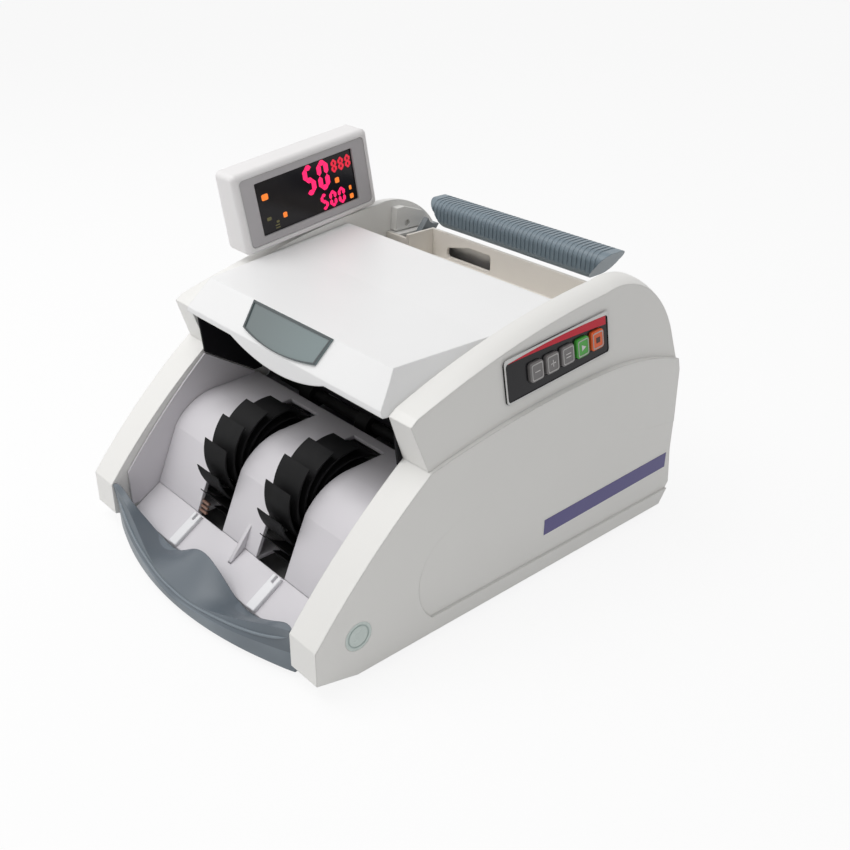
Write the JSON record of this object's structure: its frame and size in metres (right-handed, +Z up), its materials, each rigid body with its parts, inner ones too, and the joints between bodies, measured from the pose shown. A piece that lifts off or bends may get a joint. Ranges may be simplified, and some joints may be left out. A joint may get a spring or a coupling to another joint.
{
  "type": "banknote counter",
  "caption": "Desk-top banknote counter with a rear hopper, a front note pocket with finned impellers, side keys, a tilting display pod and a folding carry handle.",
  "frame": {"origin": "on the desk, under the middle of the overall width and depth", "axes": "+X towards the side with the keys, -Y towards the front pocket, +Z up"},
  "size_m": [0.25, 0.3238, 0.2359],
  "materials": {
    "case_white": "fine satin moulded white plastic",
    "pocket_grey": "satin pale grey plastic",
    "tray_blue": "satin blue-grey plastic",
    "handle_grey": "satin blue-grey plastic",
    "guide_black": "smoked dark plastic",
    "chute_cream": "satin cream plastic",
    "badge_grey": "grey-green plate with a pale rim",
    "base_grey": "grey plastic",
    "rubber_black": "black rubber",
    "rubber_feet": "black rubber",
    "steel": "bright zinc-plated steel",
    "motor_can": "plated motor can",
    "pulley_plastic": "natural nylon",
    "belt_rubber": "moulded rubber belt",
    "black_plastic": "black plastic",
    "rocker_black": "glossy black plastic",
    "panel_black": "glossy black film with a red band",
    "key_grey": "grey key",
    "key_green": "green key",
    "key_orange": "orange key",
    "disc_green": "pale green plug",
    "pod_white": "satin white plastic",
    "bezel_grey": "grey plastic",
    "window_black": "smoked window with lit digits behind it",
    "board_green": "circuit board"
  },
  "bodies": {
    "case": {"base_pan": "base_grey", "case_screws": "steel", "control_panel": "panel_black", "display_socket": "black_plastic", "drive_motors": "motor_can", "feed_belt": "belt_rubber", "front_tray": "tray_blue", "handle_pins": "steel", "hood": "case_white", "hopper_chute": "chute_cream", "impeller_belt": "belt_rubber", "key_board": "board_green", "left_cover": "case_white", "left_side_frame": "steel", "main_board": "board_green", "mains_inlet": "black_plastic", "name_badge": "badge_grey", "note_sensors": "black_plastic", "pocket_liners": "pocket_grey", "pod_hinge": "base_grey", "rear_cover": "case_white", "retard_unit": "steel", "right_cover": "case_white", "right_side_frame": "steel", "rubber_feet": "rubber_feet", "shaft_bearings": "steel", "side_disc": "disc_green", "stacker_bars": "case_white", "stacker_floor": "pocket_grey", "stacker_plate": "pocket_grey", "switch_frame": "black_plastic", "tie_rods": "steel", "transformer": "motor_can", "upper_guide": "guide_black"},
    "handle": {"handle_grip": "tray_blue", "handle_arms": "handle_grey"},
    "display": {"pod_shell": "pod_white", "pod_bezel": "bezel_grey", "pod_window": "window_black", "pod_board": "board_green"},
    "power_rocker": {"power_rocker": "rocker_black"},
    "gap_knob": {"gap_knob": "black_plastic"},
    "impeller_set": {"impellers": "rubber_black", "impeller_shaft": "steel", "impeller_pulley": "pulley_plastic"},
    "impeller_rotor": {"impeller_motor_rotor": "motor_can"},
    "feed_set": {"feed_shaft": "steel", "feed_tyres": "rubber_black", "feed_pulley": "pulley_plastic"},
    "pickup_set": {"pickup_shaft": "steel", "pickup_tyres": "rubber_black", "pickup_pulley": "pulley_plastic"},
    "transport_set": {"transport_roller": "steel", "transport_pulley": "pulley_plastic"},
    "feed_rotor": {"feed_motor_rotor": "motor_can"},
    "key_1": {"key_1": "key_grey"},
    "key_2": {"key_2": "key_grey"},
    "key_3": {"key_3": "key_grey"},
    "key_4": {"key_4": "key_green"},
    "key_5": {"key_5": "key_orange"}
  },
  "joints": [
    {"name": "handle_swing", "type": "hinge", "parent": "case", "child": "handle", "pos_m": [0, 0.104, 0.14], "axis": [1, 0, 0], "range_deg": [0, 36]},
    {"name": "display_tilt", "type": "hinge", "parent": "case", "child": "display", "pos_m": [-0.11025, 0.028, 0.17003], "axis": [0, -0.9903, -0.1392], "range_deg": [0, 18]},
    {"name": "key_1_press", "type": "slide", "parent": "case", "child": "key_1", "axis": [-0.9945, 0, -0.1045], "range_m": [0, 0.0015], "stiffness_N_per_m": 400},
    {"name": "key_2_press", "type": "slide", "parent": "case", "child": "key_2", "axis": [-0.9945, 0, -0.1045], "range_m": [0, 0.0015], "stiffness_N_per_m": 400},
    {"name": "key_3_press", "type": "slide", "parent": "case", "child": "key_3", "axis": [-0.9945, 0, -0.1045], "range_m": [0, 0.0015], "stiffness_N_per_m": 400},
    {"name": "key_4_press", "type": "slide", "parent": "case", "child": "key_4", "axis": [-0.9945, 0, -0.1045], "range_m": [0, 0.0015], "stiffness_N_per_m": 400},
    {"name": "key_5_press", "type": "slide", "parent": "case", "child": "key_5", "axis": [-0.9945, 0, -0.1045], "range_m": [0, 0.0015], "stiffness_N_per_m": 400},
    {"name": "power_switch_rock", "type": "hinge", "parent": "case", "child": "power_rocker", "pos_m": [-0.032, 0.15387, 0.03768], "axis": [0, -0.1065, 0.9943], "range_deg": [-18, 0]},
    {"name": "gap_knob_turn", "type": "hinge", "parent": "case", "child": "gap_knob", "pos_m": [0, 0.135, 0.138], "axis": [0, 0.8384, 0.545], "range_deg": [-150, 150]},
    {"name": "impeller_spin", "type": "hinge", "parent": "case", "child": "impeller_set", "pos_m": [0, -0.069, 0.052], "axis": [1, 0, 0], "continuous": true},
    {"name": "impeller_motor_spin", "type": "hinge", "parent": "case", "child": "impeller_rotor", "pos_m": [0, 0.002, 0.038], "axis": [1, 0, 0], "continuous": true},
    {"name": "feed_spin", "type": "hinge", "parent": "case", "child": "feed_set", "pos_m": [0, 0.022, 0.093], "axis": [1, 0, 0], "continuous": true},
    {"name": "pickup_spin", "type": "hinge", "parent": "case", "child": "pickup_set", "pos_m": [0, 0.055, 0.1135], "axis": [1, 0, 0], "continuous": true},
    {"name": "transport_spin", "type": "hinge", "parent": "case", "child": "transport_set", "pos_m": [0, -0.006, 0.072], "axis": [1, 0, 0], "continuous": true},
    {"name": "feed_motor_spin", "type": "hinge", "parent": "case", "child": "feed_rotor", "pos_m": [0, 0.062, 0.05], "axis": [1, 0, 0], "continuous": true}
  ],
  "couplings": [
    {"joint": "impeller_motor_spin", "follows": "impeller_spin", "ratio": 2},
    {"joint": "pickup_spin", "follows": "feed_spin", "ratio": 1.1667},
    {"joint": "transport_spin", "follows": "feed_spin", "ratio": 2},
    {"joint": "feed_motor_spin", "follows": "feed_spin", "ratio": 1.75}
  ]
}
